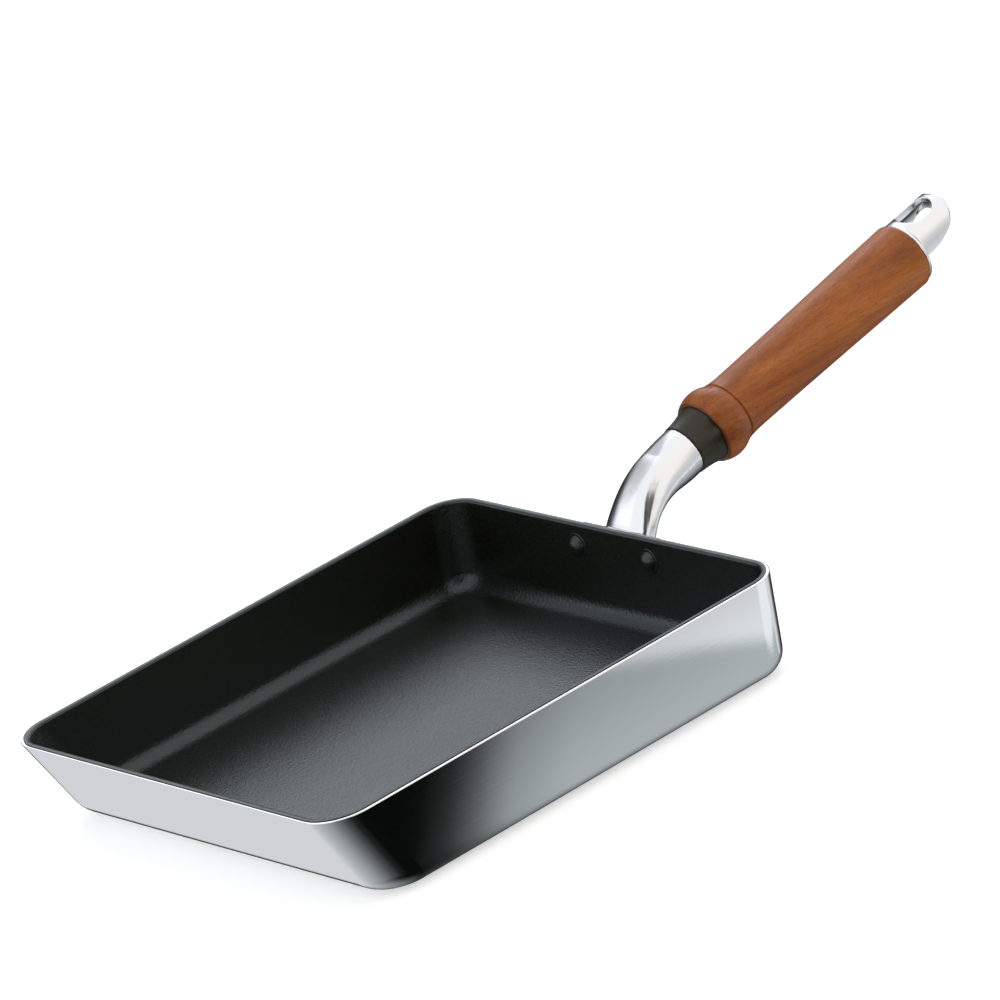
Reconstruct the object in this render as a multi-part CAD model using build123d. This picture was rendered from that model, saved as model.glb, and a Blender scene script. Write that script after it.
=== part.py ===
from build123d import *
import os
from math import asin, cos, radians, sin, tan

# Tamagoyaki pan, in millimetres. The pan rests on z = 0, +X runs towards the handle,
# y = 0 is the plane of symmetry, and the origin lies under the middle of the rim.

# Pan body
rim_length = 196.0
rim_width = 169.5
rim_height = 34.3
wall = 2.6
floor_thickness = 2.8
corner_radius = 14.0
side_draft = 1.0
back_draft = 4.2
front_draft = 27.0
base_round = 7.5
lip_round = 1.0
rim_bevel = 1.0
coat = 0.3
coat_edge = 0.2

# Rivets through the back wall
rivet_spacing = 36.0
rivet_depth = 8.0
rivet_shank_radius = 2.75
rivet_head_radius = 4.4
rivet_flange = 0.6
rivet_dome_radius = 3.5
rivet_dome_height = 2.2
rivet_tail_height = 1.8
rivet_gap = 0.1

# Riveted foot of the neck
foot_thickness = 3.0
foot_top_depth = 3.0
foot_bottom_depth = 22.0
foot_ear_radius = 6.5
foot_apron_width = 24.0
foot_corner_radius = 5.0
foot_edge = 0.6

# Handle axis, from the round end of the neck outwards
handle_rise = 12.2
handle_start_x = 132.7
handle_start_z = rim_height + 12.1

# Neck, from its round end back and down to the foot
neck_radius = 8.8
neck_straight = 10.5
neck_bend_radius = 27.4
neck_root_front = 23.6
neck_root_back = 18.9
neck_root_depth = 5.0
neck_front_share = 0.6
neck_swell_start = 0.29
neck_wedge_length = 7.0
neck_wedge_width = 13.0
neck_wedge_depth = 0.8
neck_sections = 11
root_roundness = 0.15
end_roundness = 0.99
spigot_side = 9.0
spigot_round = 1.2
spigot_length = 14.0
socket_clearance = 0.1

# Ferrule and turned grip, as distances along the handle axis
ferrule_length = 9.8
ferrule_near_radius = 9.1
ferrule_far_radius = 10.7
ferrule_edge = 0.4
ferrule_flare_radius = 24.0
grip_end = 111.8
grip_face_radius = 11.2
bead_radius = 12.95
bead_peak = 15.0
groove_place = 21.6
groove_radius = 10.8
groove_half_width = 0.5
shoulder_radius = 11.4
waist_place = 28.0
waist_radius = 10.95
grip_middle_radius = 11.45
grip_end_radius = 12.1
grip_edge_round = 1.2

# Tie rod, its lock washer and the tail cap
rod_radius = 2.5
rod_hole_radius = 2.8
rod_in_neck = 10.0
rod_in_cap = 7.0
rod_end_bevel = 0.5
washer_radius = 4.5
washer_thickness = 1.3
washer_split = 0.8
cap_boss_radius = 4.2
cap_boss_length = 9.0
boss_hole_radius = 4.8
cap_disc_radius = 11.5
cap_disc_thickness = 1.4
cap_disc_round = 0.5
hood_half_width = 9.95
hood_top = 11.45
hood_bottom = -0.5
hood_length = 20.6
hood_corner = 6.8
hood_shell = 2.0
hood_root = 3.0
nose_round = 2.4
nose_margin = 0.2
tip_sweep_radius = 20.0
tip_sweep_place = 4.5
eye_half_width = 5.65
eye_start = 3.1
eye_end = 17.3


def outline(level, inset, corner):
    """Rounded rectangle of the pan's outside at one height, moved inwards by inset."""
    depth = rim_height - level
    front_inset = depth * tan(radians(front_draft)) + inset / cos(radians(front_draft))
    back_inset = depth * tan(radians(back_draft)) + inset / cos(radians(back_draft))
    side_inset = depth * tan(radians(side_draft)) + inset / cos(radians(side_draft))
    length = rim_length - front_inset - back_inset
    shape = RectangleRounded(length, rim_width - 2 * side_inset, corner)
    return Pos((front_inset - back_inset) / 2, 0, level) * shape


def tub(bottom, top, inset, bottom_round, bevel):
    """Tapered tub between two heights, its bottom edge rounded and its top edge bevelled."""
    corner = corner_radius - inset
    sections = [outline(bottom, inset, corner), outline(top - bevel, inset, corner)]
    if bevel > 0:
        sections.append(outline(top, inset + bevel, corner - bevel))
    solid = loft(sections, ruled=True)
    return fillet(solid.faces().sort_by(Axis.Z)[0].edges(), bottom_round)


def open_pan(height, floor_top, inset, bevel):
    """Pan with bevelled rim and rounded inner lip, whose hollow starts at floor_top."""
    outside = tub(0, height, 0, base_round, bevel)
    hollow = tub(floor_top, height + 1, inset, base_round - inset / 2, 0)
    shell = outside - hollow
    rim = shell.faces().filter_by(Axis.Z).sort_by(Axis.Z)[-1]
    return fillet(rim.inner_wires()[0].edges(), lip_round)


def rivet_places():
    """Planes on the outside of the back wall, with z pointing out of the pan."""
    tilt = radians(back_draft)
    places = {}
    for name, side in (("left", 1), ("right", -1)):
        x = rim_length / 2 - rivet_depth * tan(tilt)
        origin = (x, side * rivet_spacing / 2, rim_height - rivet_depth)
        places[name] = Plane(origin=origin, x_dir=(0, 1, 0), z_dir=(cos(tilt), 0, -sin(tilt)))
    return places


def along_rivet(place, radius):
    """Long cylinder on a rivet's axis, to cut holes with."""
    return place.location * Cylinder(radius, 4 * foot_thickness + 4 * wall)


def make_pan_body(places):
    """Cast aluminium pan with a bevelled rim and two rivet holes."""
    body = open_pan(rim_height - coat, floor_thickness, wall, rim_bevel)
    for place in places.values():
        body -= along_rivet(place, rivet_shank_radius)
    return body


def make_coating(body, places):
    """Non-stick skin over the inside and the flat of the rim, open round the rivet heads."""
    skin = open_pan(rim_height, floor_thickness + coat, wall + coat, 0) - body
    edge = rim_bevel + coat_edge
    skin &= extrude(outline(rim_height, edge, corner_radius - edge), amount=rim_height, dir=(0, 0, -1))
    for place in places.values():
        skin -= along_rivet(place, rivet_head_radius + rivet_gap)
    return skin


def cap_arc(radius, height, level):
    """Half profile of a low spherical cap, from the rim of its base to the axis."""
    sphere = (radius**2 + height**2) / (2 * height)
    half_angle = asin(radius / abs(sphere)) / 2
    middle = (abs(sphere) * sin(half_angle), level + height - sphere * (1 - cos(half_angle)))
    return ThreePointArc((radius, level), middle, (0, level + height))


def make_rivet(place):
    """Solid rivet: flanged dome inside the pan, shank, and a low head behind the foot."""
    flange_face = -wall - rivet_flange
    dome = cap_arc(rivet_dome_radius, -rivet_dome_height, flange_face)
    tail = cap_arc(rivet_head_radius, rivet_tail_height, foot_thickness)
    body = Polyline(
        (rivet_dome_radius, flange_face),
        (rivet_head_radius, flange_face),
        (rivet_head_radius, -wall),
        (rivet_shank_radius, -wall),
        (rivet_shank_radius, foot_thickness),
        (rivet_head_radius, foot_thickness),
    )
    axis_line = Line(dome @ 1, tail @ 1)
    profile = make_face(Plane.XZ * (dome + body + tail + axis_line))
    return place.location * revolve(profile, axis=Axis.Z)


def handle_plane():
    """Plane at the round end of the neck: x across the pan, y up, z along the handle."""
    rise = radians(handle_rise)
    origin = (handle_start_x, 0, handle_start_z)
    return Plane(origin=origin, x_dir=(0, 1, 0), z_dir=(cos(rise), 0, sin(rise)))


def on_handle(shape):
    """Shape made about its own Z axis, placed on the handle's axis."""
    return handle_plane().location * shape


def make_foot():
    """Riveted plate on the back wall: two ears joined below by a rounded apron."""
    tilt = radians(back_draft)
    height = foot_bottom_depth - foot_top_depth
    middle_depth = (foot_top_depth + foot_bottom_depth) / 2
    origin = (rim_length / 2 - middle_depth * tan(tilt), 0, rim_height - middle_depth)
    wall_plane = Plane(origin=origin, x_dir=(0, 1, 0), z_dir=(cos(tilt), 0, -sin(tilt)))
    plate = Sketch() + RectangleRounded(foot_apron_width, height, foot_corner_radius)
    for side in (1, -1):
        plate += Pos(side * rivet_spacing / 2, (middle_depth - rivet_depth) / cos(tilt)) * Circle(foot_ear_radius)
    plate = extrude(make_hull(plate.edges()), amount=foot_thickness)
    outer_edges = plate.faces().sort_by(Axis.Z)[-1].edges()
    return wall_plane.location * chamfer(outer_edges, foot_edge)


def neck_place(distance):
    """Plane across the neck, at a distance back from its round end along its bent centre line."""
    end_rise = radians(handle_rise)
    full_bend = radians(90 - back_draft) - end_rise
    straight = min(distance, neck_straight)
    bend = min(max(distance - neck_straight, 0) / neck_bend_radius, full_bend)
    beyond = max(distance - neck_straight - full_bend * neck_bend_radius, 0)
    rise = end_rise + bend
    x = handle_start_x - straight * cos(end_rise) - neck_bend_radius * (sin(rise) - sin(end_rise))
    z = handle_start_z - straight * sin(end_rise) - neck_bend_radius * (cos(end_rise) - cos(rise))
    origin = (x - beyond * cos(rise), 0, z - beyond * sin(rise))
    return Plane(origin=origin, x_dir=(0, 1, 0), z_dir=(cos(rise), 0, sin(rise)))


def smooth_step(share):
    """Slow start and slow end between 0 and 1."""
    share = min(max(share, 0), 1)
    return share * share * (3 - 2 * share)


def neck_section(share):
    """Rounded trapezium across the neck, narrow in front; its corners make a full circle at share 1."""
    turn = smooth_step(share**0.8)
    front = neck_root_front + (2 * neck_radius * neck_front_share - neck_root_front) * turn
    back = neck_root_back + (2 * neck_radius / neck_front_share - neck_root_back) * turn
    swell = smooth_step((share - neck_swell_start) / (1 - neck_swell_start))
    depth = neck_root_depth + (2 * neck_radius - neck_root_depth) * swell
    roundness = root_roundness + (end_roundness - root_roundness) * share**1.4
    sides = Polyline(
        (-back / 2, -depth / 2),
        (back / 2, -depth / 2),
        (front / 2, depth / 2),
        (-front / 2, depth / 2),
        close=True,
    )
    section = make_face(sides)
    return fillet(section.vertices(), roundness * depth / 2)


def make_neck(places):
    """Neck that leaves the foot as a flat bar and bends up into a round end with a square spigot."""
    full_bend = radians(90 - back_draft - handle_rise)
    length = neck_straight + full_bend * neck_bend_radius
    sections = []
    for step in range(neck_sections):
        share = step / (neck_sections - 1)
        sections.append(neck_place(length * (1 - share)).location * neck_section(share))
    bar = loft(sections)
    wedge_end = Pos(0, (neck_root_depth - neck_wedge_depth) / 2) * Rectangle(neck_wedge_width, neck_wedge_depth)
    wedge_end = neck_place(length + neck_wedge_length).location * wedge_end
    root = neck_place(length).location * Rectangle(neck_root_back, neck_root_depth)
    wedge = loft([wedge_end, root])
    spigot = extrude(RectangleRounded(spigot_side, spigot_side, spigot_round), amount=spigot_length)
    spigot -= Pos(0, 0, spigot_length - rod_in_neck / 2) * Cylinder(rod_radius, rod_in_neck)
    neck = make_foot() + wedge + bar + on_handle(spigot)
    for place in places.values():
        neck -= along_rivet(place, rivet_shank_radius)
    return neck


def square_socket(length):
    """Square hole for the neck's spigot."""
    side = spigot_side + 2 * socket_clearance
    return extrude(RectangleRounded(side, side, spigot_round), amount=length)


def turned(profile_lines):
    """Solid of revolution about Z, from a closed half profile of (radius, distance) points."""
    return revolve(make_face(Plane.XZ * profile_lines), axis=Axis.Z)


def make_ferrule():
    """Dark collar that flares from the neck to the grip."""
    flare = RadiusArc(
        (ferrule_near_radius, ferrule_edge),
        (ferrule_far_radius, ferrule_length),
        ferrule_flare_radius,
    )
    body = Polyline(
        flare @ 1,
        (0, ferrule_length),
        (0, 0),
        (ferrule_near_radius - ferrule_edge, 0),
        flare @ 0,
    )
    return turned(flare + body) - square_socket(ferrule_length)


def make_grip():
    """Turned beech grip: bead, groove, waist and a slowly thickening body."""
    bead = ThreePointArc(
        (grip_face_radius, ferrule_length),
        (bead_radius, bead_peak),
        (shoulder_radius, groove_place - groove_half_width),
    )
    groove = Polyline(
        bead @ 1,
        (groove_radius, groove_place),
        (shoulder_radius, groove_place + groove_half_width),
    )
    body = Spline(
        groove @ 1,
        (waist_radius, waist_place),
        (grip_middle_radius, (waist_place + grip_end) / 2),
        (grip_end_radius, grip_end),
    )
    core = Polyline(
        body @ 1,
        (0, grip_end),
        (0, ferrule_length),
        bead @ 0,
    )
    grip = turned(bead + groove + body + core)
    end_edge = grip.faces().filter_by(Axis.Z).sort_by(Axis.Z)[-1].edges()
    grip = fillet(end_edge, grip_edge_round)
    boss_hole = cap_boss_length + washer_thickness
    grip -= square_socket(spigot_length + socket_clearance)
    grip -= Pos(0, 0, grip_end / 2) * Cylinder(rod_hole_radius, grip_end)
    return grip - Pos(0, 0, grip_end - boss_hole / 2) * Cylinder(boss_hole_radius, boss_hole)


def make_tie_rod():
    """Threaded rod, drawn plain, from inside the spigot to inside the cap's boss."""
    start = spigot_length - rod_in_neck
    length = grip_end - cap_boss_length + rod_in_cap - start
    rod = extrude(Circle(rod_radius), amount=length)
    return Pos(0, 0, start) * chamfer(rod.edges(), rod_end_bevel)


def make_lock_washer():
    """Split spring washer between the grip and the cap's boss."""
    ring = extrude(Circle(washer_radius) - Circle(rod_hole_radius), amount=washer_thickness)
    split = Pos(0, washer_radius, 0) * Box(washer_split, 2 * washer_radius, 2 * washer_thickness)
    return Pos(0, 0, grip_end - cap_boss_length - washer_thickness) * (ring - split)


def hood(shell, bottom):
    """Half-round vault over the hanging eye, its end rounded in plan, shrunk by shell."""
    half_width = hood_half_width - shell
    length = hood_length - shell
    spring = hood_top - hood_half_width
    crown = ThreePointArc((-half_width, spring), (0, hood_top - shell), (half_width, spring))
    walls = Polyline(crown @ 1, (half_width, bottom), (-half_width, bottom), crown @ 0)
    vault = extrude(make_face(crown + walls), amount=length)
    plan = RectangleRounded(2 * half_width, 2 * length, hood_corner - shell)
    return vault & extrude(Plane.XZ * plan, amount=2 * hood_top, both=True)


def make_hood():
    """Outer vault, its nose rounded in side view and its underside swept up towards the tip."""
    side = RectangleRounded(2 * (hood_top + nose_margin), 2 * (hood_length + nose_margin), nose_round)
    outer = hood(0, hood_bottom) & extrude(Plane.YZ * side, amount=2 * hood_half_width, both=True)
    sweep = Rot(0, 90, 0) * Cylinder(tip_sweep_radius, 4 * hood_half_width)
    sweep = Pos(0, hood_bottom + tip_sweep_radius, tip_sweep_place) * sweep
    before_sweep = Box(4 * hood_half_width, 4 * hood_top, 2 * tip_sweep_place)
    return outer & (before_sweep + sweep)


def make_tail_cap():
    """End cap with a threaded boss, a disc over the grip and a hollow hood with the hanging eye."""
    disc = extrude(Circle(cap_disc_radius), amount=cap_disc_thickness)
    disc = fillet(disc.edges().sort_by(Axis.Z)[-1:], cap_disc_round)
    hollow_start = Pos(0, 0, hood_root + hood_length) * Box(4 * hood_half_width, 4 * hood_top, 2 * hood_length)
    cap = disc + make_hood() - (hood(hood_shell, hood_bottom - hood_shell) & hollow_start)
    eye = SlotOverall(eye_end - eye_start, 2 * eye_half_width, rotation=90)
    cap -= extrude(Plane.XZ * (Pos(0, (eye_start + eye_end) / 2) * eye), amount=-2 * hood_top)
    cap += Pos(0, 0, -cap_boss_length / 2) * Cylinder(cap_boss_radius, cap_boss_length)
    cap -= Pos(0, 0, rod_in_cap / 2 - cap_boss_length) * Cylinder(rod_radius, rod_in_cap)
    return Pos(0, 0, grip_end) * cap


places = rivet_places()
pan_body = make_pan_body(places)
nodes = {
    "pan_body": pan_body,
    "nonstick_coating": make_coating(pan_body, places),
    "handle_neck": make_neck(places),
    "ferrule": on_handle(make_ferrule()),
    "wooden_grip": on_handle(make_grip()),
    "tie_rod": on_handle(make_tie_rod()),
    "lock_washer": on_handle(make_lock_washer()),
    "tail_cap": on_handle(make_tail_cap()),
}
for name, place in places.items():
    nodes["rivet_" + name] = make_rivet(place)

os.makedirs("parts", exist_ok=True)
for name, shape in nodes.items():
    export_step(shape, "parts/" + name + ".step")
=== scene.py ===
# %% [markdown]
# A rolled-omelette pan is a shallow rectangular tub with a slanted front wall. Its outside is polished
# aluminium, its inside is black non-stick, and a turned beech grip sits on a bent metal neck. This lesson
# dresses a measured CAD model of such a pan. The CAD model is loaded first and stays as the frame: every
# piece made below has to sit exactly where the CAD says. Lengths are in metres throughout.

# %% Load the frame
from math import asin, atan2, copysign, cos, degrees, pi, radians, sin, tan

import bmesh
import bpy
from mathutils import Matrix, Vector


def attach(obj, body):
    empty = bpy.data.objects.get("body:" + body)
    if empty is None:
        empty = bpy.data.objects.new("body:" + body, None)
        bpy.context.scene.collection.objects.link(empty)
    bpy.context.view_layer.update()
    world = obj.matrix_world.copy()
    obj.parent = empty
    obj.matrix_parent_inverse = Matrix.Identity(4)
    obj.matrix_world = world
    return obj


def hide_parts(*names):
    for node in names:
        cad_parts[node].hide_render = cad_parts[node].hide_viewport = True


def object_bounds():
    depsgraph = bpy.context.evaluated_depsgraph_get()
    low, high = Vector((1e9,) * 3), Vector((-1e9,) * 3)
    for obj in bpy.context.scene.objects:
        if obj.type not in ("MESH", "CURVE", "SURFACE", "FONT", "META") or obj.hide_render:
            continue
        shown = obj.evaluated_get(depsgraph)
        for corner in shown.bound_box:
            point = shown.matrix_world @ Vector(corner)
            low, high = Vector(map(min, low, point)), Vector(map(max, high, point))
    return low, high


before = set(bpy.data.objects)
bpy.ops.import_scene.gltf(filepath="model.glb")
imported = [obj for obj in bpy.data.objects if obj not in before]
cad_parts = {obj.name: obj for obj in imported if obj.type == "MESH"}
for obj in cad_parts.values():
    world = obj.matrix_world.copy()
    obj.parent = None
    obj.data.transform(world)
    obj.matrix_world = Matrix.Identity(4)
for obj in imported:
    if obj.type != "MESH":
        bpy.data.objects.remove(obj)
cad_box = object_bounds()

scene = bpy.context.scene
print("frame nodes:", sorted(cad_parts))

# %% [markdown]
# The sizes are the same few driving sizes that the CAD model has. The pan's walls all lean: the front one
# by 27 degrees, so that a rolled omelette slides out, the others just enough to leave the casting mould.

# %% Sizes of the pan
rim_length = 0.196
rim_width = 0.1695
rim_height = 0.0343
wall = 0.0026
floor_thickness = 0.0028
corner_radius = 0.014
base_round = 0.0075
rim_bevel = 0.0005
lip_round = 0.001
coat = 0.0003
coat_edge = 0.0002
side_draft = radians(1.0)
back_draft = radians(4.2)
front_draft = radians(27.0)
print("rim in mm:", rim_length * 1000, rim_width * 1000)

# %% [markdown]
# The handle's parts are all turned on one axis, which starts where the neck becomes round and rises
# towards the tail. One matrix takes a piece that stands on the Z axis to its place on that axis.

# %% The handle's axis
handle_rise = radians(12.2)
handle_reach = 0.1327
handle_lift = 0.0121
handle_start = Vector((handle_reach, 0, rim_height + handle_lift))
across = Vector((0, 1, 0))
along = Vector((cos(handle_rise), 0, sin(handle_rise)))
upward = along.cross(across)


def frame_matrix(x_axis, y_axis, z_axis, origin):
    """Matrix that takes the plain axes to these ones and the centre to the origin given."""
    matrix = Matrix((x_axis, y_axis, z_axis)).transposed().to_4x4()
    matrix.translation = origin
    return matrix


handle_matrix = frame_matrix(across, upward, along, handle_start)
print("handle rises", round(degrees(handle_rise), 1), "degrees")

# %% [markdown]
# Every new piece ends the same way: its bmesh becomes an object at the origin, the piece rides on the
# pan's one body, and the CAD solid that it stands for is hidden. Smooth shading needs sharp edges where the
# real piece has them. Weighted normals keep the flat walls flat right up to their rounded edges, which
# matters on a mirror finish: without them each wall would bulge in its reflections.

# %% Helpers that finish a piece
merge_distance = 0.000001


def object_of(bm, name, materials=()):
    """Object whose mesh is a finished bmesh; the bmesh is freed."""
    mesh = bpy.data.meshes.new(name)
    bm.to_mesh(mesh)
    bm.free()
    for material in materials:
        mesh.materials.append(material)
    made = bpy.data.objects.new(name, mesh)
    scene.collection.objects.link(made)
    return made


def as_piece(bm, name, materials, node, sharp_degrees=35):
    """Turns a finished bmesh into a smooth-shaded piece that replaces a CAD node."""
    bmesh.ops.remove_doubles(bm, verts=bm.verts, dist=merge_distance)
    bmesh.ops.recalc_face_normals(bm, faces=bm.faces)
    piece = object_of(bm, name, materials)
    piece.data.shade_smooth()
    piece.data.set_sharp_from_angle(angle=radians(sharp_degrees))
    normals = piece.modifiers.new("weighted normals", "WEIGHTED_NORMAL")
    normals.keep_sharp = True
    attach(piece, "root")
    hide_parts(node)
    print(name, "faces:", len(piece.data.polygons))


def add_mesh_of(source, target):
    """Adds everything in one bmesh to another and frees the first."""
    mesh = bpy.data.meshes.new("passing")
    source.to_mesh(mesh)
    source.free()
    target.from_mesh(mesh)
    bpy.data.meshes.remove(mesh)


# %% [markdown]
# Materials come before the pieces, so that a piece can be given its finish as it is made. A small helper
# places a node and sets its inputs, which keeps each material short enough to read.

# %% Node helpers
def new_material(name, **sockets):
    """Material with a Principled shader whose constant sockets are set directly."""
    material = bpy.data.materials.new(name)
    material.use_nodes = True
    shader = material.node_tree.nodes["Principled BSDF"]
    for socket, value in sockets.items():
        shader.inputs[socket.replace("_", " ")].default_value = value
    print("finish:", name)
    return material, material.node_tree, shader


def feed(tree, node, **sockets):
    """Links outputs to the inputs of a node, which are named with _ for a space."""
    for socket, source in sockets.items():
        tree.links.new(source, node.inputs[socket.replace("_", " ")])


def add_node(tree, kind, inputs=None, **settings):
    """Node with its settings and inputs; an input that is a socket is linked."""
    node = tree.nodes.new(kind)
    for key, value in settings.items():
        setattr(node, key, value)
    for key, value in (inputs or {}).items():
        if isinstance(value, bpy.types.NodeSocket):
            tree.links.new(value, node.inputs[key])
        else:
            node.inputs[key].default_value = value
    return node


# %% [markdown]
# Some nodes come up again and again. Each gets a helper that hands back the socket to go on from.

# %% Helpers for the usual nodes
def add_ramp(tree, factor, stops):
    """Colour ramp from (position, colour) stops; a plain number stands for a grey."""
    node = add_node(tree, "ShaderNodeValToRGB", {"Fac": factor})
    elements = node.color_ramp.elements
    while len(elements) < len(stops):
        elements.new(0.5)
    for element, (position, value) in zip(elements, stops):
        element.position = position
        element.color = (value, value, value, 1) if isinstance(value, (int, float)) else (*value, 1)
    return node.outputs["Color"]


def add_noise(tree, place, scale, **inputs):
    """Noise at some coordinates."""
    return add_node(tree, "ShaderNodeTexNoise", {"Vector": place, "Scale": scale, **inputs}).outputs["Fac"]


def add_math(tree, operation, *values, **settings):
    """Result of a Math node."""
    node = add_node(tree, "ShaderNodeMath", dict(enumerate(values)), operation=operation, **settings)
    return node.outputs[0]


def add_range(tree, value, source, target=(0.0, 1.0), smooth=False):
    """Value taken from one range to another and kept inside it; smooth gives slow ends."""
    inputs = {"Value": value, "From Min": source[0], "From Max": source[1], "To Min": target[0],
              "To Max": target[1]}
    kind = "SMOOTHSTEP" if smooth else "LINEAR"
    return add_node(tree, "ShaderNodeMapRange", inputs, interpolation_type=kind).outputs["Result"]


def add_mix(tree, share, first, second, blend="MIX"):
    """Blend of two colours, which are the Mix node's sockets 6 and 7."""
    inputs = {0: share, 6: first, 7: second}
    return add_node(tree, "ShaderNodeMix", inputs, data_type="RGBA", blend_type=blend).outputs[2]


def add_number_mix(tree, share, first, second):
    """Mix of two numbers, which are the Mix node's sockets 2 and 3."""
    return add_node(tree, "ShaderNodeMix", {0: share, 2: first, 3: second}, data_type="FLOAT").outputs[0]


def add_bump(tree, height, strength, distance, **inputs):
    """Normal of a Bump node; Normal as a further input puts it over another bump."""
    inputs = {"Height": height, "Strength": strength, "Distance": distance, **inputs}
    return add_node(tree, "ShaderNodeBump", inputs).outputs["Normal"]


def object_coordinates(tree, scale=(1, 1, 1), rotation=(0, 0, 0)):
    """Object coordinates, turned and stretched by a Mapping node."""
    place = add_node(tree, "ShaderNodeTexCoord").outputs["Object"]
    inputs = {"Vector": place, "Rotation": rotation, "Scale": scale}
    return add_node(tree, "ShaderNodeMapping", inputs).outputs["Vector"]


# %% [markdown]
# Polished metal is never perfectly even: the buffing wheel leaves faint streaks in one direction, and
# fingers leave cloudy patches. Both metals here share that effect, so it is a node group with the streak
# direction and the strength as inputs. It puts out a roughness and a height, which change over the surface.
# The height makes a fine bump over a broad one, which each metal chooses for itself.

# %% Shared effect: buffing marks
cloud_scale = 28.0


def make_buffing_group():
    """Node group with stretched streaks and cloudy patches for polished metal."""
    group = bpy.data.node_groups.new("buffing marks", "ShaderNodeTree")
    for name, kind in (("Vector", "NodeSocketVector"), ("Base Roughness", "NodeSocketFloat"),
                       ("Streaks", "NodeSocketFloat"), ("Clouds", "NodeSocketFloat")):
        group.interface.new_socket(name, in_out="INPUT", socket_type=kind)
    for name in ("Roughness", "Height"):
        group.interface.new_socket(name, in_out="OUTPUT", socket_type="NodeSocketFloat")
    entry = group.nodes.new("NodeGroupInput").outputs
    place = add_node(group, "ShaderNodeTexCoord").outputs["Object"]
    streaks = add_noise(group, entry["Vector"], 1.0, Detail=4.0, Roughness=0.6)
    clouds = add_noise(group, place, cloud_scale, Detail=2.0, Roughness=0.5)
    streak_part = add_math(group, "MULTIPLY", streaks, entry["Streaks"])
    cloud_part = add_math(group, "MULTIPLY", clouds, entry["Clouds"])
    both = add_math(group, "ADD", streak_part, cloud_part)
    total = add_math(group, "ADD", both, entry["Base Roughness"])
    add_node(group, "NodeGroupOutput", {"Roughness": total, "Height": streaks})
    return group


def buff(tree, shader, streak_place, roughness, streaks, clouds, swell, swell_bump, mark_bump):
    """Gives a metal its marks and both bumps; a bump is a strength and a distance."""
    inputs = {"Vector": streak_place, "Base Roughness": roughness, "Streaks": streaks, "Clouds": clouds}
    marks = add_node(tree, "ShaderNodeGroup", inputs, node_tree=buffing).outputs
    broad = add_bump(tree, swell, *swell_bump)
    fine = add_bump(tree, marks["Height"], *mark_bump, Normal=broad)
    feed(tree, shader, Roughness=marks["Roughness"], Normal=fine)


buffing = make_buffing_group()
print("group:", buffing.name)

# %% [markdown]
# The pan's outside is buffed along its walls. A slow, very low swell in the bump keeps the large flat
# mirrors from looking computed: the real wall is cast and ground by hand.

# %% Finish: polished aluminium
def make_polished_aluminium():
    """Mirror-polished aluminium with faint buffing marks along the walls."""
    material, tree, shader = new_material("polished aluminium", Base_Color=(0.91, 0.92, 0.925, 1),
                                          Metallic=1.0)
    swell = add_noise(tree, object_coordinates(tree), 16.0, Detail=1.0)
    buff(tree, shader, object_coordinates(tree, scale=(25, 25, 900)), roughness=0.02, streaks=0.03,
         clouds=0.03, swell=swell, swell_bump=(0.25, 0.0006), mark_bump=(0.05, 0.00004))
    return material


polished = make_polished_aluminium()

# %% [markdown]
# The neck and the tail cap are castings that were tumbled and polished by hand. Their marks run along the
# handle, and the surface keeps a few shallow dents from the mould. In a studio such rounded metal darkens
# towards its outlines, where it mirrors dark things that stand close by. The tent made below has nothing
# close by, so Layer Weight lowers the reflection there instead.

# %% Finish: polished casting
handle_turn = (0, handle_rise, 0)


def make_cast_metal():
    """Bright polished casting, with a painted dark reflection where it turns away."""
    material, tree, shader = new_material("polished casting", Metallic=1.0)
    # Layer Weight darkens the metal's colour towards its outlines: a painted dark reflection that stands for
    # dark things close by.
    turned_away = add_node(tree, "ShaderNodeLayerWeight", {"Blend": 0.5}).outputs["Facing"]
    bright, half, painted_outline_dark = (0.93, 0.93, 0.945), (0.6, 0.61, 0.62), (0.1, 0.105, 0.11)
    feed(tree, shader, Base_Color=add_ramp(tree, turned_away, ((0.38, bright), (0.56, half), (0.72, painted_outline_dark))))
    dents = add_noise(tree, object_coordinates(tree), 130.0, Detail=2.0)
    buff(tree, shader, object_coordinates(tree, (60, 900, 900), handle_turn), roughness=0.1, streaks=0.12,
         clouds=0.1, swell=dents, swell_bump=(0.35, 0.0004), mark_bump=(0.25, 0.00006))
    return material


cast_metal = make_cast_metal()

# %% [markdown]
# The non-stick coat is sprayed on and baked, so it has a fine pebble grain. It is nearly black, and what
# is seen of it is mostly its broad, soft sheen: a middling roughness and a bump at grain size do the work.

# %% Finish: non-stick coat
grain_scale = 1300.0
pebble_scale = 1100.0


def make_nonstick():
    """Black sprayed coat with a fine grain and tiny pale specks."""
    material, tree, shader = new_material("non-stick coat", Specular_IOR_Level=0.78,
                                          Specular_Tint=(0.86, 1.0, 1.06, 1))
    place = object_coordinates(tree)
    grain = add_noise(tree, place, grain_scale, Detail=2.0, Roughness=0.6)
    pebbles = add_node(tree, "ShaderNodeTexVoronoi", {"Vector": place, "Scale": pebble_scale},
                       feature="SMOOTH_F1").outputs["Distance"]
    patches = add_noise(tree, place, 22.0, Detail=3.0)
    black, dark, speck = (0.0024, 0.0025, 0.0004), (0.006, 0.0063, 0.0024), (0.02, 0.021, 0.016)
    feed(tree, shader, Base_Color=add_ramp(tree, grain, ((0.3, black), (0.62, dark), (0.8, speck))),
         Roughness=add_ramp(tree, patches, ((0.3, 0.3), (0.7, 0.34))),
         Normal=add_bump(tree, add_math(tree, "ADD", grain, pebbles), strength=0.4, distance=0.00022))
    return material


nonstick = make_nonstick()
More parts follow.
